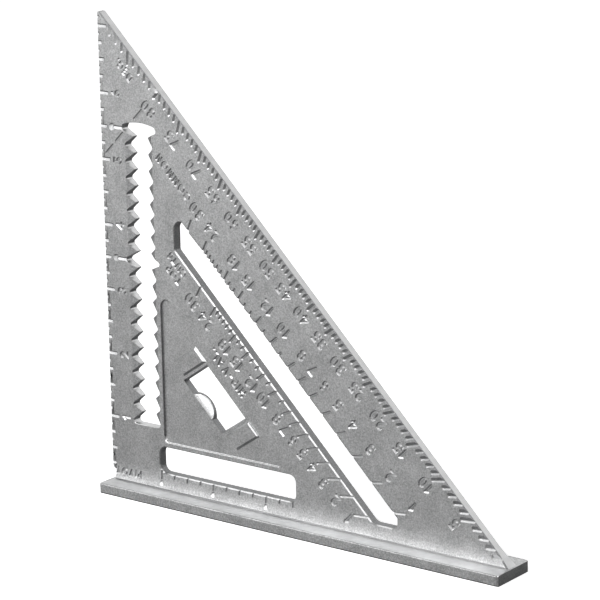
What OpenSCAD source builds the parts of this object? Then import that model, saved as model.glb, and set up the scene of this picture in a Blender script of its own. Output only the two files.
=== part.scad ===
// Rafter square in cast aluminium: a triangular web that stands on a flat fence, as a T.
// The web is drawn in its own plane, with x along the fence and y up the scale edge,
// and with the pivot corner at zero. Then it is stood up and moved to the part's frame.

/* [Web] */
// Length of both legs, from the pivot corner to the line of the long edge
leg_l = 184.15; // [183:0.05:187]
// Thickness of the web
web_t = 4; // [3.4:0.1:5]
// Width of the flat that cuts off the upper tip
tip_flat = 1.3; // [0.8:0.1:3]
// Width of the step beside the pivot corner
relief_w = 1.8; // [1:0.1:3]
// Height of the straight part of that step
relief_h = 3.6; // [2:0.1:5]
// Height of the concave flare at the foot of the web
flare_h = 7; // [5:0.5:9]
// Reach of the flare out of the web at its foot
flare_out = 1; // [0.5:0.1:1.5]
// Height of the web's root that belongs to the fence
root_h = 3; // [2:0.1:3.4]

/* [Fence] */
// Thickness of the fence
fence_t = 4.1; // [3:0.1:6]
// Reach of the fence in front of the web
fence_front = 9; // [6:0.1:12]
// Reach of the fence behind the web
fence_back = 7.6; // [6:0.1:12]
// Gap between the line of the scale edge and the near end of the fence
fence_start = 0.5; // [0:0.1:2]
// Reach of the fence past the end of the long edge
fence_over = 0.85; // [0:0.05:2]
// Corner radius of the fence, seen from above
fence_corner_r = 1.2; // [0.5:0.1:3]
// Radius on the lower long edges of the fence
fence_low_r = 0.9; // [0.3:0.1:1.5]
// Radius on the upper long edges of the fence
fence_top_r = 0.3; // [0.1:0.1:0.8]

/* [Scribing slot] */
// Distance between notches, a quarter inch
notch_pitch = 6.35; // [6.35:6.35:12.7]
// Height of the lowest pair of notches, one inch
notch_first = 25.4; // [25.4:12.7:50.8]
// Least distance from the top pair of notches to the upper tip
notch_top_gap = 44; // [40:1:70]
// Number of notches from the top deep pair down to the other one
deep_notches = 8; // [4:1:12]
// Line of the tooth tips on the scale side
tip_left = 14.8; // [14:0.1:15.5]
// Width between the tooth tips
tip_gap = 6.5; // [5:0.1:7]
// Depth of the scale side notches if their bottoms were sharp
left_sharp = 3.4; // [2.8:0.1:3.6]
// Depth of the far side notches if their bottoms were sharp
right_sharp = 4.7; // [4:0.1:5]
// Extra depth of the deep notches on the scale side
left_deeper = 1.8; // [1:0.1:2.2]
// Extra depth of the deep notches on the far side
right_deeper = 2.6; // [1:0.1:3]
// Radius at the bottom of a notch
notch_r = 1; // [0.6:0.1:1.2]
// Width of the blunt end of a tooth
tooth_flat = 0.3; // [0.2:0.05:0.6]
// How deep the front bevel cuts the tips on the scale side
left_bevel = 1.7; // [1:0.1:2.2]
// How deep the front bevel cuts the tips on the far side
right_bevel = 2.3; // [1:0.1:2.6]
// Reach of the slot below its lowest notches
slot_foot = 1.4; // [1.3:0.1:2.4]
// Height of the arch over the top notches
arch_h = 2.7; // [1.5:0.1:4]
// How much lower the arch is at its ends
arch_fall_h = 1.3; // [0.5:0.1:1.4]
// Radius in the end corners of the slot
slot_corner_r = 1.2; // [0.6:0.1:1.3]

/* [Diagonal slot] */
// Width of the arm between the long edge and the slot
arm_w = 27.33; // [24:0.01:28]
// Width of the slot
diag_w = 10.8; // [9:0.1:12]
// Distance from the far tooth tips to the slot's upright left end
diag_gap = 13.55; // [12:0.05:16]
// Width of the slot's upper end
diag_top_w = 4.05; // [3.8:0.05:6]
// Bottom of the slot
diag_bottom = 5.1; // [4.2:0.1:6]
// Height of the slot's upright right end
diag_right_h = 4.5; // [4.2:0.1:6]
// Radius at the foot of the left end
diag_r_foot = 1.5; // [0.5:0.1:3]
// Radius in the top left corner
diag_r_top = 3; // [1:0.1:3.5]
// Radius in the sharp corner of the upper side
diag_r_point = 0.8; // [0.4:0.1:1.2]
// Radius where the lower side meets the bottom
diag_r_floor = 4; // [1:0.1:5]
// Radius of both corners at the right end
diag_r_end = 2; // [0.5:0.1:2.4]

/* [Lower slot] */
// Left end of the slot
low_left = 24.5; // [23:0.1:26]
// Distance along the fence from the slot's upper right corner to the diagonal slot
low_gap = 23.43; // [18:0.01:40]
// Bottom of the slot
low_bottom = 6.35; // [5:0.05:7]
// Height of the slot
low_h = 10.55; // [8:0.05:11]
// Corner radius of the slot
low_r = 3; // [1.5:0.1:4]

/* [Sunk panel] */
// Distance from the far tooth tips to the panel
panel_side_gap = 5.7; // [5:0.1:7]
// Distance from the lower slot to the panel
panel_foot_gap = 2; // [1.5:0.1:4]
// Distance from the diagonal slot to the panel
panel_gap = 17.2; // [16.5:0.1:20]
// Depth of the panel
panel_d = 0.9; // [0.5:0.1:1.2]
// Radius in the panel's corners
panel_r = 2.5; // [1.5:0.1:3.5]

/* [Window and thumb tab] */
// Distance from the panel's long side to the window
window_gap = 3.48; // [3:0.01:5]
// Height of the window, square to the long edge
window_h = 13.7; // [12:0.1:15]
// Start of the window's lower side, from the line square to the long edge
window_start = -5.5; // [-6.5:0.1:-4.5]
// Length of the window
window_l = 24.8; // [23:0.1:26]
// Slant of the window's ends
window_slant = 11.3; // [0:0.1:15]
// Width of the raised pads beside the window
pad_w = 6.5; // [5:0.1:8]
// Gap between the window and each pad
pad_side_gap = 2; // [1.5:0.1:2.5]
// Distance from the panel's long side to the pads
pad_gap = 2.98; // [2:0.01:4]
// Height of the pads, square to the long edge
pad_h = 12.2; // [10:0.1:14]
// Radius of the thumb tab's edge
tab_r = 7.9; // [7:0.1:9]
// How far the tab stands into the window
tab_reach = 3.1; // [2:0.1:4]
// Thickness left at the tab's rim under the dish
tab_rim = 1.1; // [0.8:0.1:2]
// Radius of the tab's dish
dish_r = 5.5; // [4.5:0.1:8]

/* [Hidden] */
$fn = 96;

// How far a cutting shape runs past what it cuts
past = 3;
arc_steps = 10;
metal = [0.63, 0.64, 0.65];

fence_end = leg_l + fence_over;
fence_depth = fence_front + web_t + fence_back;
to_frame = [-fence_end / 2, fence_front - fence_depth / 2, fence_t];
tip_z = leg_l - tip_flat;
flare_r = (flare_h * flare_h + flare_out * flare_out) / (2 * flare_out);

notches = floor((leg_l - notch_top_gap - notch_first) / notch_pitch);
notch_last = notch_first + notches * notch_pitch;
tip_right = tip_left + tip_gap;
slot_mid = tip_left + tip_gap / 2;
slot_bottom = notch_first - slot_foot;
left_deep = left_sharp + left_deeper;
right_deep = right_sharp + right_deeper;
// Flanks run this share of the radius from the middle of a notch's round bottom
seat_share = 0.99;
// The ends of the slot, and the bevels, reach this share of a notch's depth
root_share = 0.96;
left_line = tip_left - root_share * notch_depth(left_sharp);
right_line = tip_right + root_share * notch_depth(right_sharp);
deep_left_line = tip_left - root_share * notch_depth(left_deep);
deep_right_line = tip_right + root_share * notch_depth(right_deep);

// Where the lines of the slanted sides meet the fence
diag_outer = leg_l - arm_w * sqrt(2);
diag_inner = diag_outer - diag_w * sqrt(2);
panel_outer = diag_inner - panel_gap * sqrt(2);
diag_left = tip_right + diag_gap;
diag_top = diag_outer - diag_left - diag_top_w;
diag_right = diag_outer - diag_bottom - diag_right_h;
low_top = low_bottom + low_h;
low_right = diag_inner - low_top - low_gap;
panel_left = tip_right + panel_side_gap;
panel_bottom = low_top + panel_foot_gap;
window_out = panel_outer / sqrt(2) - window_gap;
window_in = window_out - window_h;
pad_out = panel_outer / sqrt(2) - pad_gap;
pad_in = pad_out - pad_h;
// The arm and the center web part at a notch, this many below the top one
arm_notches = 3;
arm_low = notch_last - arm_notches * notch_pitch;
window_mid = window_start + window_l / 2;
dish_tilt = atan2(web_t - tab_rim - panel_d, tab_reach);
dish_chord = norm([web_t - tab_rim - panel_d, tab_reach]);
dish_reach = sqrt(dish_r * dish_r - dish_chord * dish_chord / 4);

// Direction of a vector, at length one
function unit(v) = v / norm(v);

// Half of the angle between a notch's flanks
function notch_half(sharp) = atan2((notch_pitch - tooth_flat) / 2, sharp);

// Depth of a notch once its bottom is round
function notch_depth(sharp) = sharp + notch_r - seat_share * notch_r / sin(notch_half(sharp));

// Points of an arc about a centre, from one angle through a sweep
function arc(centre, r, start, sweep) =
    [for (i = [0:arc_steps]) let (a = start + sweep * i / arc_steps) centre + r * [cos(a), sin(a)]];

// Angle from one direction to another, the short way round
function turn(from, to) = (to - from + 540) % 360 - 180;

// Arc that rounds the corner p between its neighbours a and b
function corner(a, p, b, r) =
    let (u = unit(a - p), v = unit(b - p))
    let (half = acos(u * v) / 2)
    let (centre = p + unit(u + v) * r / sin(half))
    let (from = p + u * r / tan(half) - centre, to = p + v * r / tan(half) - centre)
    let (start = atan2(from.y, from.x))
    arc(centre, r, start, turn(start, atan2(to.y, to.x)));

// Outline with a radius on each corner, where a radius of zero keeps it sharp
function rounded(pts, radii) =
    let (n = len(pts))
    [for (i = [0:n - 1])
        let (before = pts[(i + n - 1) % n], after = pts[(i + 1) % n])
        each (radii[i] > 0 ? corner(before, pts[i], after, radii[i]) : [pts[i]])];

// Upright rectangle between two corners, with one radius on its lower and one on its upper corners
function block(low, high, low_radius, high_radius) =
    rounded(
        [low, [high.x, low.y], high, [low.x, high.y]],
        [low_radius, low_radius, high_radius, high_radius]);

// Shapes in the web's plane

module web_outline() {
    difference() {
        polygon([[0, 0], [leg_l, 0], [tip_flat, tip_z], [0, tip_z]]);
        difference() {
            square([relief_w, relief_h + relief_w]);
            translate([relief_w, relief_h + relief_w])
                circle(relief_w);
        }
    }
}

// One notch, with its mouth on the line x = 0 and its bottom towards minus x
module notch(sharp) {
    half = notch_half(sharp);
    seat = seat_share * notch_r;
    foot = seat / tan(half) * [cos(half), sin(half)];
    mouth = (sharp + past / 2) * [1, tan(half)];
    translate([-sharp, 0]) {
        polygon([foot, mouth, [mouth.x, -mouth.y], [foot.x, -foot.y]]);
        translate([seat / sin(half), 0])
            circle(notch_r);
    }
}

module notch_pair(z, left, right) {
    translate([tip_left, z])
        notch(left);
    translate([tip_right, z])
        mirror([1, 0])
            notch(right);
}

// Shallow arch that closes the slot over the top pair of notches
module slot_arch() {
    half_chord = (deep_right_line - deep_left_line) / 2;
    crown_r = (half_chord * half_chord + arch_fall_h * arch_fall_h) / (2 * arch_fall_h);
    crown = [deep_left_line + half_chord, notch_last + arch_h - crown_r];
    half_sweep = asin(half_chord / crown_r);
    sides = [[deep_left_line, notch_last], [deep_right_line, notch_last]];
    ends = [2, 2 + arc_steps];
    pts = concat(sides, arc(crown, crown_r, 90 - half_sweep, 2 * half_sweep));
    polygon(rounded(pts, [for (i = [0:len(pts) - 1]) search(i, ends) == [] ? 0 : slot_corner_r]));
}

module scribing_slot() {
    intersection() {
        for (i = [0:notches]) {
            deep = i == 0 || i == deep_notches;
            z = notch_last - i * notch_pitch;
            notch_pair(z, deep ? left_deep : left_sharp, deep ? right_deep : right_sharp);
        }
        translate([0, slot_bottom])
            square([leg_l, notch_last + notch_r - slot_bottom]);
    }
    translate([tip_left, slot_bottom])
        square([tip_right - tip_left, notch_last - slot_bottom]);
    polygon(block([left_line, slot_bottom], [right_line, notch_first], slot_corner_r, 0));
    slot_arch();
}

module diagonal_slot() {
    polygon(rounded(
        [
            [diag_left, diag_inner - diag_left],
            [diag_inner - diag_bottom, diag_bottom],
            [diag_right, diag_bottom],
            [diag_right, diag_outer - diag_right],
            [diag_outer - diag_top, diag_top],
            [diag_left, diag_top]
        ],
        [diag_r_foot, diag_r_floor, diag_r_end, diag_r_end, diag_r_point, diag_r_top]));
}

module lower_slot() {
    polygon(block([low_left, low_bottom], [low_right, low_top], low_r, low_r));
}

// Turns a sketch drawn along the long edge into the web's plane
module along_edge() {
    rotate(-45)
        children();
}

// Slanted block between two distances from the pivot corner
module slanted(start, width, near, far) {
    shift = (near - window_in) * tan(window_slant);
    drift = (far - near) * tan(window_slant);
    foot = start + shift;
    head = foot + drift;
    polygon([[foot, near], [foot + width, near], [head + width, far], [head, far]]);
}

module window() {
    along_edge()
        slanted(window_start, window_l, window_in, window_out);
}

module pads() {
    along_edge() {
        slanted(window_start - pad_side_gap - pad_w, pad_w, pad_in, pad_out);
        slanted(window_start + window_l + pad_side_gap, pad_w, pad_in, pad_out);
    }
}

module panel() {
    difference() {
        polygon(rounded(
            [
                [panel_left, panel_bottom],
                [panel_outer - panel_bottom, panel_bottom],
                [panel_left, panel_outer - panel_left]
            ],
            [panel_r, panel_r, panel_r]));
        pads();
    }
}

module tab_outline() {
    intersection() {
        along_edge()
            translate([window_mid, window_in + tab_reach - tab_r])
                circle(tab_r);
        window();
    }
}

// Solids

// Stands a sketch of the web's plane up, from one depth to another
module stand(near, far) {
    translate([0, far, 0])
        rotate([90, 0, 0])
            linear_extrude(far - near)
                children();
}

// Runs a sketch of the fence's section along the fence
module run(from, to) {
    translate([from, 0, 0])
        rotate([90, 0, 90])
            linear_extrude(to - from)
                children();
}

module flare_section() {
    difference() {
        translate([-flare_out, 0])
            square([flare_out, flare_h]);
        translate([-flare_r, flare_h])
            circle(flare_r);
    }
}

module flares() {
    intersection() {
        run(relief_w, leg_l) {
            flare_section();
            translate([web_t, 0])
                mirror([1, 0])
                    flare_section();
        }
        stand(-flare_out, web_t + flare_out)
            web_outline();
    }
}

// Wedge that bevels the front of a row of teeth, from a line near their roots to past their tips
module tooth_bevel(line, tip, depth) {
    over = tip + sign(tip - line) * past / 2;
    over_depth = depth * (over - line) / (tip - line);
    translate([0, 0, notch_first])
        linear_extrude(notch_last - notch_first)
            polygon([[line, 0], [line, -past], [over, -past], [over, over_depth]]);
}

module web() {
    difference() {
        union() {
            stand(0, web_t)
                web_outline();
            flares();
        }
        stand(-past, web_t + past) {
            scribing_slot();
            diagonal_slot();
            lower_slot();
            window();
        }
        stand(-past, panel_d)
            panel();
        tooth_bevel(left_line, tip_left, left_bevel);
        tooth_bevel(right_line, tip_right, right_bevel);
    }
}

// Part of the web inside an outline
module web_part(outline) {
    intersection() {
        web();
        stand(-past, web_t + past)
            polygon(outline);
    }
}

module web_member(outline) {
    color(metal)
        translate(to_frame)
            web_part(outline);
}

module flange() {
    back = web_t + fence_back;
    intersection() {
        run(fence_start, fence_end)
            polygon(block([-fence_front, -fence_t], [back, 0], fence_low_r, fence_top_r));
        translate([0, 0, -fence_t])
            linear_extrude(fence_t)
                polygon(block([fence_start, -fence_front], [fence_end, back], fence_corner_r, fence_corner_r));
    }
}

// Flange with the root of the web on it, so that it hooks over a board on either side
module fence() {
    color(metal)
        translate(to_frame) {
            flange();
            web_part([[0, 0], [leg_l, 0], [leg_l, root_h], [0, root_h]]);
        }
}

module scale_leg() {
    web_member([[0, root_h], [slot_mid, root_h], [slot_mid, leg_l], [0, leg_l]]);
}

module protractor_arm() {
    web_member([
        [slot_mid, arm_low],
        [diag_outer - arm_low, arm_low],
        [diag_outer - root_h, root_h],
        [leg_l, root_h],
        [leg_l, leg_l],
        [slot_mid, leg_l]
    ]);
}

module center_web() {
    web_member([
        [slot_mid, root_h],
        [diag_outer - root_h, root_h],
        [diag_outer - arm_low, arm_low],
        [slot_mid, arm_low]
    ]);
}

// Half-round lug in the window, with a round dish cut along its front
module thumb_tab() {
    dish_v = window_in + tab_reach / 2 + dish_reach * sin(dish_tilt);
    dish_y = (panel_d + web_t - tab_rim) / 2 - dish_reach * cos(dish_tilt);
    color(metal)
        translate(to_frame)
            difference() {
                stand(panel_d, web_t)
                    tab_outline();
                rotate([0, 45, 0])
                    translate([window_mid, dish_y, dish_v])
                        rotate([0, 90, 0])
                            cylinder(h = 4 * tab_r, r = dish_r, center = true);
            }
}

fence();
scale_leg();
protractor_arm();
center_web();
thumb_tab();
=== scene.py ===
"""Dresses the rafter square: cast members with their marks, the floor, the light, the camera.

Marks are laid out in plate coordinates: millimetres, with x along the fence and z up the scale
edge from the pivot corner. Angles are in degrees from x towards z, as seen from the front.
"""
import logging
import math
from collections.abc import Callable
from dataclasses import dataclass, field
from enum import Enum, IntEnum

import bpy
from bpy.types import Material, Mesh, MeshLoopTriangle, MeshPolygon, NodeSocket, NodeTree, Object
from mathutils import Matrix, Vector
from mathutils.bvhtree import BVHTree


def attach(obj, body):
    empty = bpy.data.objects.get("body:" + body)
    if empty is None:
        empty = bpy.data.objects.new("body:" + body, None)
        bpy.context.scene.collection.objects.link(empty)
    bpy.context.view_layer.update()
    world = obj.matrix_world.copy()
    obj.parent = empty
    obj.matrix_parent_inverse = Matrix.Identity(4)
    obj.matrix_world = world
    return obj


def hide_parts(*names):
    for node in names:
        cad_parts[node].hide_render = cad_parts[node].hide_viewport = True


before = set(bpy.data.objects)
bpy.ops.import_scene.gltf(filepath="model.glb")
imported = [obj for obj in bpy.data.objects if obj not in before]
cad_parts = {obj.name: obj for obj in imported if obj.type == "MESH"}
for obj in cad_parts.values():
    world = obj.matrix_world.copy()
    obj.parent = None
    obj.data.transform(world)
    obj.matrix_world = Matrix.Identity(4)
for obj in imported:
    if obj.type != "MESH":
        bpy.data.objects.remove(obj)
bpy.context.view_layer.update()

MM = 0.001
INCH = 25.4
log = logging.getLogger("rafter_square")


class Side(Enum):
    """Faces of the web that carry marks, with the direction each one looks in."""

    FRONT = -1
    BACK = 1


class Skin(IntEnum):
    """Material slots of every member, in their order."""

    CAST = 0
    # Brighter colour of worn broken edges, also a painted highlight on the teeth's up-facing flanks
    RUBBED = 1
    MARK = 2
    MILLED = 3
    # Dark colour on walls and marks that face sideways or down: painted shade
    WALL = 4
    # Near-black colour on the fence's down-facing rims: painted shade
    FOOT = 5


# ---- Small helpers around the operators ----


def mode(name: str) -> None:
    """Switches the active object to a mode."""
    bpy.ops.object.mode_set(mode=name)


def only(*objs: Object) -> None:
    """Selects these objects alone and makes the first one active.

    Args:
        objs: objects to select.
    """
    bpy.ops.object.select_all(action="DESELECT")
    for obj in objs:
        obj.select_set(True)
    bpy.context.view_layer.objects.active = objs[0]


def join(objs: list[Object], name: str) -> Object:
    """Joins objects into the first of them.

    Args:
        objs: mesh objects.
        name: name of the joined object.

    Returns:
        The joined object.
    """
    only(*objs)
    if len(objs) > 1:
        bpy.ops.object.join()
    objs[0].name = name
    return objs[0]


def discard(obj: Object) -> None:
    """Deletes an object and its mesh."""
    mesh = obj.data
    bpy.data.objects.remove(obj)
    bpy.data.meshes.remove(mesh)


def copied(master: Object, place: Matrix) -> Object:
    """Copies a master shape with its own mesh, and puts the place into that mesh.

    Args:
        master: shape to copy.
        place: where it goes.

    Returns:
        The new object.
    """
    made = bpy.data.objects.new(master.name, master.data.copy())
    made.data.transform(place)
    bpy.context.scene.collection.objects.link(made)
    return made


def pick(obj: Object, test: Callable[[Vector], bool]) -> None:
    """Selects the corners of the mesh in edit mode that pass a test of their place.

    Args:
        obj: mesh in edit mode.
        test: tells from a corner's place whether it is selected.
    """
    bpy.ops.mesh.select_all(action="DESELECT")
    mode("OBJECT")
    for vert in obj.data.vertices:
        vert.select = test(vert.co)
    mode("EDIT")


def combine(piece: Object, other: Object, operation: str) -> None:
    """Joins a closed mesh to another, or cuts it out of it.

    Args:
        piece: mesh that changes.
        other: mesh that is added or taken away.
        operation: UNION or DIFFERENCE.
    """
    only(piece)
    change = piece.modifiers.new("change", "BOOLEAN")
    change.operation = operation
    change.solver = "MANIFOLD"
    change.material_mode = "TRANSFER"
    change.object = other
    bpy.ops.object.modifier_apply(modifier=change.name)


# ---- Finishes ----


@dataclass(frozen=True)
class Finish:
    """A procedural metal finish.

    Attributes:
        name: material name.
        dark: colour in the low places of the grain.
        light: colour on the high places of the grain.
        roughness: lowest and highest roughness.
        grain: size of the fine grain, in millimetres.
        relief: height of the grain, in millimetres.
        cloud: size of the broad blotches, in millimetres.
    """

    name: str
    dark: tuple[float, float, float]
    light: tuple[float, float, float]
    roughness: tuple[float, float]
    grain: float
    relief: float
    cloud: float

    FINE_DETAIL = 3.0
    BROAD_DETAIL = 2.0
    NOISE_ROUGHNESS = 0.6
    # Weight of the blotches beside the grain, and where the ramp from dark to light begins and ends
    CLOUD_SHARE = 0.35
    RAMP_ENDS = (0.42, 0.92)

    def build(self) -> Material:
        """Builds the material's nodes.

        Returns:
            The material.
        """
        material = bpy.data.materials.new(self.name)
        material.use_nodes = True
        tree = material.node_tree
        nodes, links = tree.nodes, tree.links
        shader = nodes["Principled BSDF"]
        shader.inputs["Metallic"].default_value = 1.0
        place = nodes.new("ShaderNodeTexCoord").outputs["Object"]
        fine = self._noise(tree, place, self.grain, self.FINE_DETAIL)
        broad = self._noise(tree, place, self.cloud, self.BROAD_DETAIL)
        both = nodes.new("ShaderNodeMath")
        both.operation = "MULTIPLY_ADD"
        both.inputs[1].default_value = self.CLOUD_SHARE
        links.new(broad, both.inputs[0])
        links.new(fine, both.inputs[2])
        ramp = nodes.new("ShaderNodeValToRGB")
        stops = ramp.color_ramp.elements
        for stop, position, colour in zip(stops, self.RAMP_ENDS, (self.dark, self.light)):
            stop.position = position
            stop.color = (*colour, 1.0)
        links.new(both.outputs[0], ramp.inputs["Fac"])
        links.new(ramp.outputs["Color"], shader.inputs["Base Color"])
        sheen = nodes.new("ShaderNodeMapRange")
        sheen.inputs["To Min"].default_value = self.roughness[1]
        sheen.inputs["To Max"].default_value = self.roughness[0]
        links.new(both.outputs[0], sheen.inputs["Value"])
        links.new(sheen.outputs["Result"], shader.inputs["Roughness"])
        bump = nodes.new("ShaderNodeBump")
        bump.inputs["Strength"].default_value = 1.0
        bump.inputs["Distance"].default_value = self.relief * MM
        links.new(fine, bump.inputs["Height"])
        links.new(bump.outputs["Normal"], shader.inputs["Normal"])
        return material

    def _noise(self, tree: NodeTree, place: NodeSocket, size: float, detail: float) -> NodeSocket:
        """Adds a noise whose features have a given size.

        Args:
            tree: the material's nodes.
            place: socket that gives the place.
            size: size of a feature, in millimetres.
            detail: octaves of detail.

        Returns:
            The noise's value socket.
        """
        noise = tree.nodes.new("ShaderNodeTexNoise")
        noise.inputs["Scale"].default_value = 1.0 / (size * MM)
        noise.inputs["Detail"].default_value = detail
        noise.inputs["Roughness"].default_value = self.NOISE_ROUGHNESS
        tree.links.new(place, noise.inputs["Vector"])
        return noise.outputs["Fac"]


FINISHES = {
    Skin.CAST: Finish(
        "cast_skin", (0.3, 0.303, 0.306), (0.72, 0.723, 0.726), (0.4, 0.56), 0.55, 0.07, 9.0
    ),
    # Brighter colour of worn broken edges, also a painted highlight on the teeth's up-facing flanks
    Skin.RUBBED: Finish(
        "rubbed_edge_and_highlight", (0.55, 0.553, 0.556), (0.75, 0.753, 0.756), (0.3, 0.45), 0.7, 0.015, 6.0
    ),
    Skin.MARK: Finish(
        "mark_floor", (0.36, 0.363, 0.366), (0.54, 0.543, 0.546), (0.42, 0.55), 0.5, 0.03, 5.0
    ),
    Skin.MILLED: Finish(
        "milled", (0.58, 0.583, 0.586), (0.67, 0.673, 0.676), (0.42, 0.5), 2.5, 0.003, 12.0
    ),
    # Dark colour for walls of slots and marks that face sideways or down: painted shade
    Skin.WALL: Finish(
        "wall_painted_shade", (0.2, 0.203, 0.206), (0.34, 0.343, 0.346), (0.48, 0.62), 0.6, 0.05, 7.0
    ),
    # Near-black colour for the fence's down-facing rims: painted shade
    Skin.FOOT: Finish(
        "foot_painted_shade", (0.08, 0.082, 0.084), (0.16, 0.162, 0.164), (0.5, 0.65), 0.6, 0.04, 7.0
    ),
}


# ---- Marks ----


@dataclass(frozen=True)
class Plate:
    """Place of the web in the frame, in millimetres.

    Attributes:
        left: x of the pivot corner.
        front: y of the web's front face.
        foot: z of the fence's top, where the plate coordinates begin.
        thick: thickness of the web.
        leg: length of the legs.
        flare_high: height of the flare at the web's foot.
        flare_out: how far the flare stands out at the fence.
        edge_zone: how far from the long edge a place still counts as on it, as a sum of x and z.
    """

    left: float = -92.5
    front: float = -1.3
    foot: float = 4.1
    thick: float = 4.0
    leg: float = 184.15
    flare_high: float = 7.0
    flare_out: float = 1.0
    edge_zone: float = 1.5

    def spot(self, point: Vector) -> Vector:
        """Gives the plate coordinates of a point, with its y as in the frame."""
        return point / MM - Vector((self.left, 0.0, self.foot))

    def on_long_edge(self, spot: Vector) -> bool:
        """Tells whether plate coordinates lie on the long edge."""
        return abs(spot.x + spot.z - self.leg) < self.edge_zone

    def settle(self, mesh: Mesh) -> None:
        """Moves marks at the foot out onto the flare of the web.

        Args:
            mesh: cutters on either face.
        """
        radius = (self.flare_high**2 + self.flare_out**2) / (2 * self.flare_out)
        middle = (self.front + self.thick / 2) * MM
        for vert in mesh.vertices:
            drop = self.flare_high + self.foot - vert.co.z / MM
            if drop > 0.0:
                out = (radius - math.sqrt(radius**2 - min(drop, self.flare_high) ** 2)) * MM
                vert.co.y += math.copysign(out, vert.co.y - middle)

    def place(self, x: float, z: float, angle: float, side: Side) -> Matrix:
        """Gives the place of a mark drawn in millimetres, with its outward side up.

        Args:
            x: place along the fence.
            z: place up the scale edge.
            angle: direction of the mark's own x axis.
            side: face that carries the mark.

        Returns:
            Matrix from the mark's drawing to the frame.
        """
        turn = math.radians(angle)
        along = Vector((math.cos(turn), 0.0, math.sin(turn)))
        out = Vector((0.0, float(side.value), 0.0))
        across = out.cross(along)
        depth = self.front if side is Side.FRONT else self.front + self.thick
        spot = Vector((self.left + x, depth, self.foot + z)) * MM
        axes = Matrix((along, across, out)).transposed().to_4x4()
        return Matrix.Translation(spot) @ axes @ Matrix.Scale(MM, 4)


@dataclass
class Groove:
    """A round-ended groove with sloping walls.

    Attributes:
        width: width at the surface.
        floor: width at the bottom.
        depth: depth of the bottom.
        lean: how far the bottom lies to one side of the middle.
        over: how far the cutter stands out of the surface.
        corners: corners round the two ends.
        master: the modelled cutter, until it is cleared.
    """

    width: float = 1.35
    floor: float = 0.4
    depth: float = 0.5
    lean: float = 0.0
    over: float = 0.4
    corners: int = 12
    master: Object | None = None

    def model(self) -> Object:
        """Models the cutter once, along x, with the middles of its round ends 1 mm apart.

        Returns:
            The cutter.
        """
        bpy.ops.mesh.primitive_cone_add(
            vertices=self.corners,
            radius1=self.floor / 2,
            radius2=self.width / 2,
            depth=self.depth,
            location=(0.0, 0.0, -self.depth / 2),
            rotation=(0.0, 0.0, math.pi / self.corners),
        )
        made = bpy.context.active_object
        made.name = "groove"
        bpy.ops.object.transform_apply(location=True, rotation=True, scale=False)
        mode("EDIT")
        bpy.ops.mesh.select_mode(type="VERT")
        for test, move in (
            (lambda spot: spot.x > 0.0, (1.0, 0.0, 0.0)),
            (lambda spot: spot.z < -self.depth / 2, (0.0, self.lean, 0.0)),
        ):
            pick(made, test)
            bpy.ops.transform.translate(value=move)
        pick(made, lambda spot: spot.z > -self.depth / 2)
        bpy.ops.mesh.extrude_region_move(TRANSFORM_OT_translate={"value": (0.0, 0.0, self.over)})
        mode("OBJECT")
        return made

    def cut(self, length: float, place: Matrix, spread: float = 1.0) -> Object:
        """Copies the cutter at a given length.

        Args:
            length: distance between the middles of its round ends.
            place: where it goes.
            spread: how much wider than the master it is.

        Returns:
            The cutter.
        """
        if self.master is None:
            self.master = self.model()
        made = copied(self.master, Matrix.Identity(4))
        for vert in made.data.vertices:
            if vert.co.x > 0.5:
                vert.co.x += length - 1.0
        made.data.transform(place @ Matrix.Diagonal((1.0, spread, 1.0, 1.0)))
        return made

    def clear(self) -> None:
        """Deletes the master."""
        if self.master is not None:
            discard(self.master)
            self.master = None


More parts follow.
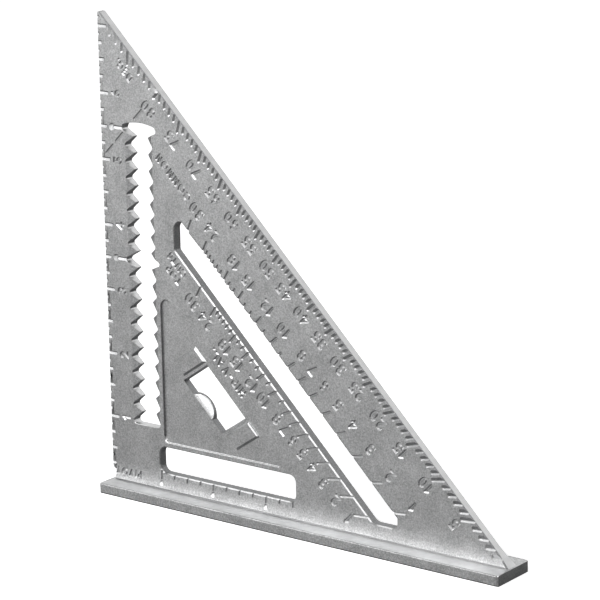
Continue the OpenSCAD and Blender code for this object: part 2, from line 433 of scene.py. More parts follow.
@dataclass
class Lettering:
    """Sunk figures with sloping walls.

    Attributes:
        pen: groove that the straight figures are drawn with.
        inset: how much narrower the bottom is than the drawn outline, on each side.
        grow: how much wider the surface is than the drawn outline, on each side.
        cap_share: height of a figure as a share of the text size.
        gap: space between figures, as a share of their height.
        masters: figures that are modelled already, by figure and height.
    """

    pen: Groove = field(default_factory=lambda: Groove(1.35, 0.2, 0.5, corners=8))
    inset: float = 0.1
    grow: float = 0.32
    cap_share: float = 0.69
    gap: float = 0.1
    masters: dict[tuple[str, float], Object] = field(default_factory=dict)

    HYPHEN = 0.42
    # Strokes of the straight figures: x and z of both ends, with a height of one
    STROKES = {
        "1": ((0.26, 0.0, 0.26, 1.0), (0.26, 1.0, 0.0, 0.74)),
        "4": ((0.48, 0.0, 0.48, 1.0), (0.48, 1.0, 0.0, 0.3), (0.0, 0.3, 0.66, 0.3)),
        "7": ((0.0, 1.0, 0.56, 1.0), (0.56, 1.0, 0.18, 0.0)),
        "A": ((0.0, 0.0, 0.36, 1.0), (0.36, 1.0, 0.72, 0.0), (0.14, 0.3, 0.58, 0.3)),
        "E": (
            (0.0, 0.0, 0.0, 1.0),
            (0.0, 1.0, 0.5, 1.0),
            (0.0, 0.5, 0.44, 0.5),
            (0.0, 0.0, 0.5, 0.0),
        ),
        "H": ((0.0, 0.0, 0.0, 1.0), (0.62, 0.0, 0.62, 1.0), (0.0, 0.5, 0.62, 0.5)),
        "I": ((0.0, 0.0, 0.0, 1.0),),
        "L": ((0.0, 1.0, 0.0, 0.0), (0.0, 0.0, 0.48, 0.0)),
        "M": (
            (0.0, 0.0, 0.0, 1.0),
            (0.0, 1.0, 0.42, 0.2),
            (0.42, 0.2, 0.84, 1.0),
            (0.84, 1.0, 0.84, 0.0),
        ),
        "N": ((0.0, 0.0, 0.0, 1.0), (0.0, 1.0, 0.66, 0.0), (0.66, 0.0, 0.66, 1.0)),
        "T": ((0.0, 1.0, 0.66, 1.0), (0.33, 1.0, 0.33, 0.0)),
        "V": ((0.0, 1.0, 0.36, 0.0), (0.36, 0.0, 0.72, 1.0)),
        "-": ((0.0, HYPHEN, 0.26, HYPHEN),),
        ".": ((0.0, 0.0, 0.02, 0.0),),
    }

    def straight(self, figure: str, height: float) -> Object:
        """Draws a figure from straight strokes, made one closed shape.

        Args:
            figure: figure or letter.
            height: height at the surface.

        Returns:
            The cutter.
        """
        tall = height - self.pen.width
        strokes = []
        for x0, z0, x1, z1 in self.STROKES[figure]:
            run = Vector((x1 - x0, z1 - z0)) * tall
            turn = Matrix.Rotation(math.atan2(run.y, run.x), 4, "Z")
            start = Matrix.Translation((x0 * tall, z0 * tall, 0.0))
            strokes.append(self.pen.cut(run.length, start @ turn))
        made = strokes[0]
        for stroke in strokes[1:]:
            combine(made, stroke, "UNION")
            discard(stroke)
        return made

    def curved(self, figure: str, height: float) -> Object:
        """Draws a figure from the built-in letters.

        Args:
            figure: figure or letter.
            height: height at the surface.

        Returns:
            The cutter.
        """
        bpy.ops.object.text_add()
        data = bpy.context.active_object.data
        data.body = figure
        data.size = (height - 2 * self.grow) / self.cap_share
        data.resolution_u = 3
        data.offset = -self.inset
        data.bevel_depth = self.grow + self.inset
        data.bevel_resolution = 0
        data.extrude = self.pen.over
        bpy.ops.object.convert(target="MESH")
        made = bpy.context.active_object
        mode("EDIT")
        bpy.ops.mesh.select_all(action="SELECT")
        bpy.ops.mesh.remove_doubles(threshold=0.001)
        bpy.ops.mesh.normals_make_consistent(inside=False)
        mode("OBJECT")
        levels = sorted({round(vert.co.z, 4) for vert in made.data.vertices})
        heights = dict(zip(levels, (-self.pen.depth, 0.0, self.pen.over, self.pen.over + 0.1)))
        for vert in made.data.vertices:
            vert.co.z = heights[round(vert.co.z, 4)]
        return made

    def master(self, figure: str, height: float) -> Object:
        """Models a figure once, with its left side and its foot at zero.

        Args:
            figure: figure or letter.
            height: height at the surface.

        Returns:
            The cutter.
        """
        key = (figure, height)
        if key not in self.masters:
            draw = self.straight if figure in self.STROKES else self.curved
            made = draw(figure, height)
            made.name = "figure"
            left = min(vert.co.x for vert in made.data.vertices)
            foot = min(vert.co.y for vert in made.data.vertices)
            if figure == "-":
                foot -= self.HYPHEN * (height - self.pen.width)
            made.data.transform(Matrix.Translation((-left, -foot, 0.0)))
            self.masters[key] = made
        return self.masters[key]

    def write(self, words: str, height: float, length: float, place: Matrix) -> list[Object]:
        """Writes figures centred on a place.

        Args:
            words: what they say.
            height: height at the surface.
            length: length at the surface, or zero for the natural one.
            place: where they go.

        Returns:
            One cutter for each figure.
        """
        row = [self.master(figure, height) for figure in words]
        starts, end = [], 0.0
        for figure in row:
            starts.append(end)
            end += figure.dimensions.x + self.gap * height
        end -= self.gap * height
        fit = length / end if length else 1.0
        made = []
        for start, figure in zip(starts, row):
            spot = Matrix.Translation(((start - end / 2) * fit, -height / 2, 0.0))
            made.append(copied(figure, place @ spot @ Matrix.Diagonal((fit, 1.0, 1.0, 1.0))))
        return made

    def clear(self) -> None:
        """Deletes the masters."""
        self.pen.clear()
        for made in self.masters.values():
            discard(made)
        self.masters.clear()


@dataclass(frozen=True)
class RafterScale:
    """One of the two scales along the diagonal slot. Sums of x and z are in inches.

    Attributes:
        run: run of the rafters, of which the figures give the rise.
        edge: sum of x and z on the side of the slot.
        way: 1 where the marks point away from the pivot corner, -1 where they point to it.
        long_end: sum at the end of the marks with a figure.
        short_end: sum at the end of the other marks.
        gap: step along x and along z from the end of a mark to its figure.
        shift: how far the figures of steep rafters are moved up along the slot.
    """

    run: int
    edge: float
    way: int
    long_end: float
    short_end: float
    gap: float
    shift: float


@dataclass(frozen=True)
class Name:
    """Name of a scale.

    Attributes:
        words: what it says.
        x: place of its middle along the fence, in inches.
        z: place of its middle up the scale edge, in inches.
        height: height of the letters, in millimetres.
        length: length of the name, in millimetres.
        angle: reading direction, as seen from the front.
    """

    words: str
    x: float
    z: float
    height: float
    length: float
    angle: float


@dataclass
class Scales:
    """Graduations on both faces of the web. Places, reaches and sums are in inches.

    Attributes:
        plate: place of the web.
        leg: length of the legs.
        digit: height of the figures, in millimetres.
        inch_digit: height of the figures on the scale edge, in millimetres.
        chamfer: width of the chamfers on the long edge, in millimetres.
        last_degree: last degree that has a mark.
        last_inch: last inch that has a figure.
        ray_cut: groove of the marks on the degree scale.
        slot_cut: groove of the marks on the rafter scales.
        inch_cut: groove of the marks on the scale edge.
        fine_cut: groove of the thin lines.
        letters: figures and letters.
        cuts: cutters of the marks that touch no other mark.
        laps: cutters of the marks that run into another one.
        figures: cutters of the figures and names.
    """

    plate: Plate = field(default_factory=Plate)
    leg: float = 7.25
    digit: float = 5.1
    inch_digit: float = 4.65
    chamfer: float = 0.5
    last_degree: int = 88
    last_inch: int = 6
    ray_cut: Groove = field(default_factory=lambda: Groove(1.6, 0.2, 0.5, lean=0.25))
    slot_cut: Groove = field(default_factory=lambda: Groove(1.2, 0.2, 0.5))
    inch_cut: Groove = field(default_factory=lambda: Groove(1.5, 0.1, 0.4, lean=0.2))
    fine_cut: Groove = field(default_factory=lambda: Groove(1.2, 0.5, 0.4))
    letters: Lettering = field(default_factory=Lettering)
    cuts: list[Object] = field(default_factory=list)
    laps: list[Object] = field(default_factory=list)
    figures: list[Object] = field(default_factory=list)

    # Reading direction along the long edge
    SLANT = 135.0

    # Degree scale: start outside the long edge, reach of the marks at five degrees and of the
    # others, step to a figure, and spread of the marks above 45 degrees
    DEGREE_START = 0.02
    FIVE_REACH = 0.262
    ONE_REACH = 0.165
    DEGREE_GAP = 0.095
    STEEP_SPREAD = 0.85

    # The mark that bends around its figure: step to the bend, stroke after it, place of the figure
    BENT_DEGREE = 80
    BEND = (0.07, 0.13)
    BENT_STROKE = 0.085
    BENT_FIGURE = (0.941, 5.819)

    # Rafter scales: rises with and without a figure, least rise of a steep rafter, and how far
    # the marks start inside the slot
    LONG = (30, 24, 18, 15, 12, 10, 8, 7, 6, 5, 4, 3, 2, 1)
    SHORT = (23, 22, 21, 20, 19, 17, 16, 14, 13, 11, 9)
    STEEP = 12
    SLOT_START = 0.05
    COMMON = RafterScale(12, 145.5 / INCH, 1, 5.97, 5.843, 0.12, 0.02)
    HIP = RafterScale(17, 130.23 / INCH, -1, 4.855, 4.988, 0.0825, 0.0)

    # Scale edge: start outside the edge, reach of the marks by their eighths, place of the figures
    INCH_START = 0.05
    EIGHTHS_REACH = {0: 0.19, 4: 0.13, 2: 0.1, 6: 0.1}
    EIGHTH_REACH = 0.055
    INCH_FIGURE = 0.318

    # Marks with a dimple: their heights, reach, place and width of the dimple, line after it
    DIMPLED = (3.5, 5.5)
    DIMPLED_REACH = 0.14
    DIMPLE = 0.225
    DIMPLE_WIDE = 3.0
    AFTER_DIMPLE = (0.27, 0.46)

    # Scale under the lower slot: quarters with a mark, start in the slot, end of the marks by
    # their quarters, place and width of the dimples
    QUARTERS = range(4, 15)
    QUARTER_START = 0.3
    QUARTERS_END = {0: 0.13, 2: 0.15}
    QUARTER_END = 0.165
    FOOT_DIMPLE = 0.09
    FOOT_DIMPLE_WIDE = 2.2

    # Dashed line: both ends of each dash along the fence, and how much higher than that z is
    DASHES = ((0.10, 0.25), (0.30, 0.45), (0.67, 0.83))
    DASH_RISE = 4.99

    NAMES = (
        Name("COMMON", 1.387, 4.851, 3.8, 21.6, SLANT),
        Name("HIP-VAL.", 2.324, 2.033, 4.2, 21.8, SLANT),
        Name("TOP", 1.336, 3.376, 3.5, 8.6, SLANT),
        Name("CUTS", 1.409, 3.537, 3.5, 11.2, SLANT),
        Name("DEG.", 0.495, 6.3675, 3.8, 10.0, SLANT),
        Name("PIVOT", 0.338, 0.135, 3.5, 13.2, 180.0),
    )

    def line(
        self,
        groove: Groove,
        start: tuple[float, float],
        end: tuple[float, float],
        side: Side,
        lap: bool = False,
        spread: float = 1.0,
    ) -> None:
        """Adds a groove between two places.

        Args:
            groove: shape of the groove.
            start: x and z of one end.
            end: x and z of the other end, where the groove stops.
            side: face that carries it.
            lap: whether it runs into another mark.
            spread: how much wider than its master it is.
        """
        run = Vector(end) - Vector(start)
        angle = math.degrees(math.atan2(run.y, run.x))
        place = self.plate.place(start[0] * INCH, start[1] * INCH, angle, side)
        made = groove.cut(max(run.length * INCH - groove.width / 2, 0.0), place, spread)
        (self.laps if lap else self.cuts).append(made)

    def dot(self, x: float, z: float, width: float, side: Side) -> None:
        """Adds a round dimple that runs into other marks.

        Args:
            x: place along the fence.
            z: place up the scale edge.
            width: width at the surface, in millimetres.
            side: face that carries it.
        """
        dimple = Groove(width, 0.3, 0.35, lean=width / 4)
        place = self.plate.place(x * INCH, z * INCH, 0.0, side)
        self.laps.append(dimple.cut(0.001, place))
        dimple.clear()

    def word(
        self,
        words: str,
        x: float,
        z: float,
        angle: float,
        side: Side,
        height: float,
        length: float = 0.0,
    ) -> None:
        """Adds figures or a word, centred on a place.

        Args:
            words: what it says.
            x: place along the fence.
            z: place up the scale edge.
            angle: reading direction, as seen from the front.
            side: face that carries it.
            height: height of the figures, in millimetres.
            length: length of the word in millimetres, or zero for the natural one.
        """
        reading = angle if side is Side.FRONT else angle + 180.0
        place = self.plate.place(x * INCH, z * INCH, reading, side)
        self.figures += self.letters.write(words, height, length, place)

    def ray(self, angle: float, total: float) -> tuple[float, float]:
        """Gives the place where a ray from the pivot corner meets a line along the long edge.

        Args:
            angle: angle of the ray above the fence.
            total: sum of x and z on the line.

        Returns:
            x and z.
        """
        turn = math.radians(angle)
        reach = total / (math.cos(turn) + math.sin(turn))
        return reach * math.cos(turn), reach * math.sin(turn)

    def degrees(self, side: Side) -> None:
        """Adds the degree scale along the long edge.

        Args:
            side: face that carries it.
        """
        for degree in range(1, self.last_degree + 1):
            five = degree % 5 == 0
            outer = self.ray(degree, self.leg + self.DEGREE_START)
            inner = self.ray(degree, self.leg - (self.FIVE_REACH if five else self.ONE_REACH))
            if degree == self.BENT_DEGREE:
                self.bent_mark(outer, inner, side)
                continue
            spread = self.STEEP_SPREAD
            if degree < 45:
                spread = 1.0 / math.cos(math.radians(degree - 45.0))
            self.line(self.ray_cut, outer, inner, side, spread=spread)
            if five and degree < self.BENT_DEGREE:
                x, z = inner[0] - self.DEGREE_GAP, inner[1] - self.DEGREE_GAP
                self.word(str(degree), x, z, self.SLANT, side, self.digit)

    def bent_mark(self, outer: tuple[float, float], inner: tuple[float, float], side: Side) -> None:
        """Adds the degree mark that bends around its figure.

        Args:
            outer: x and z of its outer end.
            inner: x and z of the end that it would have if it were straight.
            side: face that carries it.
        """
        bend = (inner[0] + self.BEND[0], inner[1] + self.BEND[1])
        end = (bend[0] - self.BENT_STROKE, bend[1] - self.BENT_STROKE)
        self.line(self.ray_cut, outer, bend, side)
        self.line(self.ray_cut, bend, end, side, lap=True)
        self.word(str(self.BENT_DEGREE), *self.BENT_FIGURE, self.SLANT, side, self.digit)

    def rafters(self, side: Side) -> None:
        """Adds the common rafter scale and the hip and valley scale along the diagonal slot.

        Args:
            side: face that carries them.
        """
        for scale in (self.COMMON, self.HIP):
            for rise in self.LONG + self.SHORT:
                angle = math.degrees(math.atan2(rise, scale.run))
                long = rise in self.LONG
                start = self.ray(angle, scale.edge - scale.way * self.SLOT_START)
                end = self.ray(angle, scale.long_end if long else scale.short_end)
                self.line(self.slot_cut, start, end, side, lap=True)
                if long:
                    shift = scale.shift if rise >= self.STEEP else 0.0
                    step = scale.way * scale.gap
                    x, z = end[0] + step - shift, end[1] + step + shift
                    self.word(str(rise), x, z, self.SLANT, side, self.digit)

    def inches(self, side: Side) -> None:
        """Adds the inch scales on the scale edge and under the lower slot.

        Args:
            side: face that carries them.
        """
        for eighth in range(1, round(self.leg * 8)):
            z = eighth / 8
            dimpled = z in self.DIMPLED
            reach = self.EIGHTHS_REACH.get(eighth % 8, self.EIGHTH_REACH)
            if dimpled:
                reach = self.DIMPLED_REACH
            self.line(self.inch_cut, (-self.INCH_START, z), (reach, z), side)
            if dimpled:
                start, end = self.AFTER_DIMPLE
                self.dot(self.DIMPLE, z, self.DIMPLE_WIDE, side)
                self.line(self.inch_cut, (start, z), (end, z), side)
            if eighth % 8 == 0 and eighth // 8 <= self.last_inch:
                self.word(str(eighth // 8), self.INCH_FIGURE, z, 90.0, side, self.inch_digit)
        for quarter in self.QUARTERS:
            x = quarter / 4
            low = self.QUARTERS_END.get(quarter % 4, self.QUARTER_END)
            self.line(self.fine_cut, (x, self.QUARTER_START), (x, low), side)
            if quarter % 4 == 0:
                self.dot(x, self.FOOT_DIMPLE, self.FOOT_DIMPLE_WIDE, side)

    def dashes(self, side: Side) -> None:
        """Adds the dashed line that slants up to the long edge.

        Args:
            side: face that carries it.
        """
        rise = self.DASH_RISE
        for start, end in self.DASHES:
            self.line(self.fine_cut, (start, start + rise), (end, end + rise), side)

    def names(self, side: Side) -> None:
        """Adds the names of the scales.

        Args:
            side: face that carries them.
        """
        for name in self.NAMES:
            self.word(name.words, name.x, name.z, name.angle, side, name.height, name.length)

    def chamfers(self) -> Object:
        """Models the wedges that chamfer both rims of the long edge.

        Returns:
            Cutter with both wedges.
        """
        wedges = []
        for side in Side:
            bpy.ops.mesh.primitive_cube_add(size=1.0, rotation=(math.pi / 4, 0.0, 0.0))
            made = bpy.context.active_object
            bpy.ops.object.transform_apply(location=False, rotation=True, scale=False)
            size = 2 * self.chamfer / math.sqrt(2.0)
            made.data.transform(Matrix.Diagonal((1.5 * self.leg * INCH, size, size, 1.0)))
            middle = self.leg * INCH / 2
            made.data.transform(self.plate.place(middle, middle, -45.0, side))
            mode("EDIT")
            for height in range(math.ceil(self.plate.flare_high) + 1):
                bpy.ops.mesh.select_all(action="SELECT")
                bpy.ops.mesh.bisect(
                    plane_co=(0.0, 0.0, (self.plate.foot + height) * MM),
                    plane_no=(0.0, 0.0, 1.0),
                    clear_inner=height == 0,
                    use_fill=height == 0,
                )
            mode("OBJECT")
            wedges.append(made)
        return join(wedges, "chamfers")

    def build(self) -> list[Object]:
        """Builds every mark on both faces.

        Returns:
            Cutters to take away from the members, one after the other: the chamfers, the marks,
            the marks that run into others, and the figures.
        """
        for side in Side:
            self.degrees(side)
            self.rafters(side)
            self.inches(side)
            self.dashes(side)
            self.names(side)
        for shape in (self.letters, self.ray_cut, self.slot_cut, self.inch_cut, self.fine_cut):
            shape.clear()
        grooves = len(self.cuts) + len(self.laps)
        log.info("marks: %d grooves and %d figures", grooves, len(self.figures))
        marks = [
            self.chamfers(),
            join(self.cuts, "grooves"),
            join(self.laps, "lap_grooves"),
            join(self.figures, "figures"),
        ]
        for cutter in marks:
            self.plate.settle(cutter.data)
        return marks


# ---- Cast members ----


@dataclass
class Member:
    """One member of the casting: its CAD solid with broken edges and sunk marks.

    Attributes:
        node: CAD node that it stands for.
        plate: place of the web.
        rim_edge: width of the broken edges, in millimetres.
        tooth_edge: width of the broken edges on the teeth and at the sunk panel's foot.
        sharp: least angle between the faces of an edge that is broken.
        smooth: greatest angle between faces that are shaded as one.
        teeth: least and greatest x, then least and greatest z, of the toothed slot.
        panel_foot: height of the sunk panel's lower side.
    """

    node: str
    plate: Plate = field(default_factory=Plate)
    rim_edge: float = 0.4
    tooth_edge: float = 0.14
    sharp: float = 50.0
    smooth: float = 20.0
    teeth: tuple[float, float, float, float] = (8.0, 28.5, 23.0, 143.5)
    panel_foot: float = 18.9

    # Limits of a face's direction, as shares of its normal
    LEVEL = 0.99
    ALONG_AXIS = 0.9999
    DIAGONAL = 0.7

    def start(self, skin: list[Material]) -> Object:
        """Copies the CAD solid as one closed mesh with whole faces.

        Args:
            skin: the member's finishes.

        Returns:
            The plain member.
        """
        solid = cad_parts[self.node].data.copy()
        made = bpy.data.objects.new("cast_" + self.node, solid)
        bpy.context.scene.collection.objects.link(made)
        made.data.materials.clear()
        for material in skin:
            made.data.materials.append(material)
        only(made)
        mode("EDIT")
        bpy.ops.mesh.select_all(action="SELECT")
        bpy.ops.mesh.remove_doubles(threshold=1e-6)
        bpy.ops.mesh.customdata_custom_splitnormals_clear()
        bpy.ops.mesh.dissolve_limited(angle_limit=math.radians(0.3))
        mode("OBJECT")
        return made

    def seams(self, mesh: Mesh) -> set[int]:
        """Finds the faces that lie against another member.

        Args:
            mesh: the member's mesh.

        Returns:
            Indices of those faces.
        """
        others = []
        for name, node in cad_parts.items():
            if name != self.node:
                corners = [vert.co for vert in node.data.vertices]
                sides = [face.vertices for face in node.data.polygons]
                others.append(BVHTree.FromPolygons(corners, sides))
        mesh.calc_loop_triangles()
        largest: dict[int, MeshLoopTriangle] = {}
        for tri in mesh.loop_triangles:
            best = largest.get(tri.polygon_index)
            if best is None or tri.area > best.area:
                largest[tri.polygon_index] = tri
        found = set()
        for index, tri in largest.items():
            middle = sum((mesh.vertices[i].co for i in tri.vertices), Vector()) / 3
            for other in others:
                _, normal, _, distance = other.find_nearest(middle)
                if distance < 2e-6 and normal.dot(tri.normal) < -self.LEVEL:
                    found.add(index)
        return found

    def toothed(self, spot: Vector) -> bool:
        """Tells whether plate coordinates lie in the toothed slot."""
        left, right, low, high = self.teeth
        return left < spot.x < right and low < spot.z < high

    def width(self, spot: Vector, normals: list[Vector]) -> float:
        """Chooses how wide an edge is broken.

        Args:
            spot: middle of the edge, in plate coordinates.
            normals: directions of its two faces.

        Returns:
            The width in millimetres, or zero on the fence and on the long edge.
        """
        milled = any(min(normal.x, normal.z) > self.DIAGONAL for normal in normals)
        if spot.z < -0.05 or (milled and self.plate.on_long_edge(spot)):
            return 0.0
        if self.toothed(spot) or abs(spot.z - self.panel_foot) < 0.3:
            return self.tooth_edge
        return self.rim_edge

    def edges(self, mesh: Mesh, width: float) -> set[tuple[int, int]]:
        """Finds the sharp edges that are broken by one width.

        Args:
            mesh: the member's mesh.
            width: the width.

        Returns:
            The edges, as pairs of corners.
        """
        seams = self.seams(mesh)
        faces: dict[tuple[int, int], list[int]] = {}
        for face in mesh.polygons:
            for key in face.edge_keys:
                faces.setdefault(key, []).append(face.index)
        found = set()
        for key, pair in faces.items():
            if len(pair) != 2 or seams & set(pair):
                continue
            one, other = (mesh.polygons[i].normal for i in pair)
            start, end = (mesh.vertices[i].co for i in key)
            through = abs((end - start).normalized().y) > 0.9
            if through or one.angle(other) < math.radians(self.sharp):
                continue
            if self.width(self.plate.spot((start + end) / 2), [one, other]) == width:
                found.add(key)
        return found

    def break_edges(self, made: Object) -> None:
        """Breaks the edges of the teeth, then the other sharp edges.

        Args:
            made: the member.
        """
        for width in (self.tooth_edge, self.rim_edge):
            wanted = self.edges(made.data, width)
            if not wanted:
                continue
            only(made)
            mode("EDIT")
            bpy.ops.mesh.select_mode(type="EDGE")
            bpy.ops.mesh.select_all(action="DESELECT")
            mode("OBJECT")
            for edge in made.data.edges:
                edge.select = edge.key in wanted
            mode("EDIT")
            bpy.ops.mesh.bevel(
                offset=width * MM, segments=1, material=int(Skin.RUBBED), clamp_overlap=False
            )
            mode("OBJECT")
            log.info("%s: %d edges broken by %.2f mm", made.name, len(wanted), width)

    def finish(self, face: MeshPolygon) -> Skin:
        """Chooses the finish of a face: milled, worn, painted shade, painted highlight, or what it
        has.

        Args:
            face: face of the member.

        Returns:
            Its finish.
        """
        present = Skin(face.material_index)
        normal, spot = face.normal, self.plate.spot(face.center)
        long_edge = min(normal.x, normal.z) > 0.4 and self.plate.on_long_edge(spot)
        shaded = normal.z - 0.4 * normal.x < -0.25
        # Broken edges and marks that face down, or that lie on the long edge, take the dark wall
        # colour: painted shade
        if present in (Skin.RUBBED, Skin.MARK) and (long_edge or shaded):
            return Skin.WALL
        if present is not Skin.CAST:
            return present
        fence_top = normal.z > self.LEVEL and abs(spot.z) < 0.3 and spot.y < self.plate.front
        fence_foot = normal.z < -self.LEVEL and spot.z < -4.0
        if fence_top or fence_foot or (long_edge and normal.z > 0.69):
            return Skin.MILLED
        # Up-facing flanks of the teeth take the brighter edge colour: painted highlight
        if self.toothed(spot) and abs(normal.y) < 0.95 and normal.z > 0.2:
            return Skin.RUBBED
        # Down-facing rims low on the fence take the near-black foot colour: painted shade
        if spot.z < -1.0 and normal.z < -0.25:
            return Skin.FOOT
        # Walls across the plate, all of them above the fence and those that do not face up below
        # it, take the dark wall colour: painted shade
        if abs(normal.y) < 0.3 and (normal.z < 0.8 or spot.z > 3.0):
            return Skin.WALL
        return Skin.CAST

    def split(self, made: Object) -> None:
        """Splits the faces into triangles, so that cuts stay clean.

        Args:
            made: the member.
        """
        only(made)
        mode("EDIT")
        bpy.ops.mesh.select_all(action="SELECT")
        bpy.ops.mesh.quads_convert_to_tris(quad_method="BEAUTY", ngon_method="BEAUTY")
        mode("OBJECT")

    def build(self, skin: list[Material], marks: list[Object]) -> None:
        """Builds the member.

        Args:
            skin: the member's finishes.
            marks: cutters of the marks.
        """
        made = self.start(skin)
        self.break_edges(made)
        self.split(made)
        for cutter in marks:
            combine(made, cutter, "DIFFERENCE")
        for face in made.data.polygons:
            face.material_index = self.finish(face)
        only(made)
        bpy.ops.object.shade_smooth_by_angle(angle=math.radians(self.smooth))
        for face in made.data.polygons:
            if max(map(abs, face.normal)) > self.ALONG_AXIS:
                face.use_smooth = False
        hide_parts(self.node)
        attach(made, "root")
        log.info("%s: %d faces", made.name, len(made.data.polygons))


# ---- Studio ----


@dataclass(frozen=True)
class Softbox:
    """A softbox that looks at the square.

    Attributes:
        name: name of the lamp.
        azimuth: direction it hangs in, in degrees from the front towards the right.
        height: its height above the horizon, in degrees.
        size: its width and height in metres.
        power: its power in watts.
        reach: its distance in metres.
        aim: place that it looks at, in metres.
    """

    name: str
    azimuth: float
    height: float
    size: tuple[float, float]
    power: float
    reach: float = 1.6
    aim: tuple[float, float, float] = (0.0, 0.0, 0.08)

    def hang(self) -> None:
        """Hangs the softbox."""
        data = bpy.data.lights.new(self.name, "AREA")
        data.shape = "RECTANGLE"
        data.size, data.size_y = self.size
        data.energy = self.power
        made = bpy.data.objects.new(self.name, data)
        bpy.context.scene.collection.objects.link(made)
        aside, up = math.radians(self.azimuth), math.radians(self.height)
        level = math.cos(up)
        eye = Vector((math.sin(aside) * level, -math.cos(aside) * level, math.sin(up))) * self.reach
        look = (Vector(self.aim) - eye).to_track_quat("-Z", "Y").to_matrix().to_4x4()
        made.matrix_world = Matrix.Translation(eye) @ look
        made.visible_camera = False


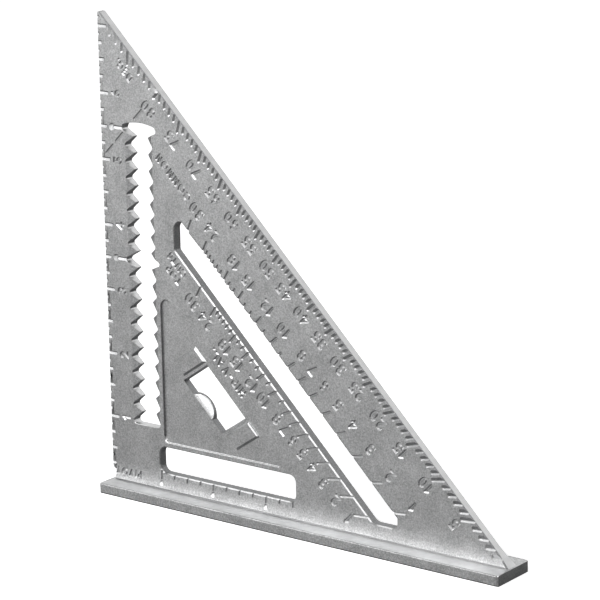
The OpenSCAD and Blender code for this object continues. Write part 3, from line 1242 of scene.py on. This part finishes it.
@dataclass
class Studio:
    """Pale floor, soft light and the camera of the photograph.

    Attributes:
        eye: place of the camera, in metres.
        turn: axis of the camera's turn from looking along y, as long as the angle in radians.
        lens: focal length, in millimetres.
        sensor: width of the sensor, in millimetres.
        floor_size: length of the floor's sides, in metres.
        floor_grey: grey of the floor in its light and in the metal.
        floor_white: grey of the floor to the camera.
        floor_glow: glow of the floor to the camera.
        room: strength of the room light.
    """

    eye: tuple[float, float, float] = (0.5823, -0.7581, 0.3335)
    turn: tuple[float, float, float] = (-0.2478, -0.0651, 0.6491)
    lens: float = 162.87
    sensor: float = 36.0
    floor_size: float = 6.0
    floor_grey: float = 0.4
    floor_white: float = 0.8
    floor_glow: float = 0.8
    room: float = 0.1

    SOFTBOXES = (
        Softbox("left_softbox", -34.0, 34.0, (1.4, 1.4), 19.0),
        Softbox("front_softbox", 0.0, 32.0, (1.0, 1.0), 12.0),
        Softbox("top_softbox", 30.0, 48.0, (1.0, 1.0), 4.0),
        Softbox("back_softbox", 186.0, 8.0, (1.2, 0.4), 5.0),
    )
    # Where the backdrop in the metal turns from dim to white, as directions along y and z
    BACKDROP = (("Y", 0.0, 0.5), ("Z", -0.1, 0.25))

    def camera(self) -> None:
        """Places the camera."""
        data = bpy.data.cameras.new("camera")
        data.lens = self.lens
        data.sensor_width = self.sensor
        data.clip_start = 0.01
        made = bpy.data.objects.new("camera", data)
        bpy.context.scene.collection.objects.link(made)
        axis = Vector(self.turn)
        level = Matrix.Rotation(math.pi / 2, 4, "X")
        look = Matrix.Rotation(axis.length, 4, axis.normalized()) @ level
        made.matrix_world = Matrix.Translation(self.eye) @ look
        bpy.context.scene.camera = made

    def world(self) -> None:
        """Lights the room dimly, with a backdrop that is white to the camera and in the metal."""
        world = bpy.data.worlds.new("room")
        bpy.context.scene.world = world
        world.use_nodes = True
        tree = world.node_tree
        nodes, links = tree.nodes, tree.links
        axes = nodes.new("ShaderNodeSeparateXYZ")
        links.new(nodes.new("ShaderNodeTexCoord").outputs["Generated"], axes.inputs[0])
        rays = nodes.new("ShaderNodeLightPath")
        level = rays.outputs["Is Glossy Ray"]
        for axis, low, high in self.BACKDROP:
            edge = nodes.new("ShaderNodeMapRange")
            edge.interpolation_type = "SMOOTHSTEP"
            edge.inputs["From Min"].default_value = low
            edge.inputs["From Max"].default_value = high
            links.new(axes.outputs[axis], edge.inputs["Value"])
            level = self.reckon(tree, "MULTIPLY", level, edge.outputs["Result"])
        for kind in ("Is Camera Ray", "Is Transmission Ray"):
            level = self.reckon(tree, "MAXIMUM", level, rays.outputs[kind])
        strength = nodes.new("ShaderNodeMapRange")
        strength.inputs["To Min"].default_value = self.room
        links.new(level, strength.inputs["Value"])
        links.new(strength.outputs["Result"], nodes["Background"].inputs["Strength"])
        nodes["Background"].inputs["Color"].default_value = (1.0, 1.0, 1.0, 1.0)

    @staticmethod
    def reckon(tree: NodeTree, operation: str, one: NodeSocket, other: NodeSocket) -> NodeSocket:
        """Adds a node that works out one value from two.

        Args:
            tree: nodes to add to.
            operation: what is done with the two.
            one: first socket.
            other: second socket.

        Returns:
            The result's socket.
        """
        node = tree.nodes.new("ShaderNodeMath")
        node.operation = operation
        tree.links.new(one, node.inputs[0])
        tree.links.new(other, node.inputs[1])
        return node.outputs[0]

    def floor(self) -> None:
        """Lays the pale floor, which shows white to the camera and keeps the shadow."""
        bpy.ops.mesh.primitive_plane_add(size=self.floor_size)
        made = bpy.context.active_object
        made.name = "floor"
        material = bpy.data.materials.new("pale_floor")
        material.use_nodes = True
        nodes, links = material.node_tree.nodes, material.node_tree.links
        shader = nodes["Principled BSDF"]
        shader.inputs["Roughness"].default_value = 0.9
        shader.inputs["Specular IOR Level"].default_value = 0.1
        shader.inputs["Emission Color"].default_value = (1.0, 1.0, 1.0, 1.0)
        rays = nodes.new("ShaderNodeLightPath")
        tone = nodes.new("ShaderNodeMix")
        tone.data_type = "RGBA"
        lit, white, mixed = tone.inputs[6], tone.inputs[7], tone.outputs[2]
        lit.default_value = (self.floor_grey,) * 3 + (1.0,)
        white.default_value = (self.floor_white,) * 3 + (1.0,)
        links.new(rays.outputs["Is Camera Ray"], tone.inputs[0])
        links.new(mixed, shader.inputs["Base Color"])
        glow = nodes.new("ShaderNodeMath")
        glow.operation = "MULTIPLY"
        glow.inputs[1].default_value = self.floor_glow
        links.new(rays.outputs["Is Camera Ray"], glow.inputs[0])
        links.new(glow.outputs[0], shader.inputs["Emission Strength"])
        made.data.materials.append(material)

    def build(self) -> None:
        """Builds the studio."""
        bpy.context.scene.view_settings.view_transform = "Standard"
        self.camera()
        self.world()
        self.floor()
        for softbox in self.SOFTBOXES:
            softbox.hang()
        log.info("studio: camera, floor, room light and %d softboxes", len(self.SOFTBOXES))


def main() -> None:
    """Builds the studio, then the marks, then the members that carry them."""
    logging.basicConfig(level=logging.INFO, format="%(name)s: %(message)s")
    Studio().build()
    skin = [FINISHES[slot].build() for slot in Skin]
    marks = Scales().build()
    # Figures and the grooves that run into others take the brighter edge colour; those of their
    # faces that look down turn to painted shade in finish()
    for cutter, slot in zip(marks, (Skin.MARK, Skin.MARK, Skin.RUBBED, Skin.RUBBED)):
        cutter.data.materials.append(skin[slot])
    for node in ("fence", "scale_leg", "protractor_arm", "center_web"):
        Member(node).build(skin, marks)
    Member("thumb_tab", rim_edge=0.15).build(skin, marks)
    for cutter in marks:
        discard(cutter)


if __name__ == "__main__":
    main()
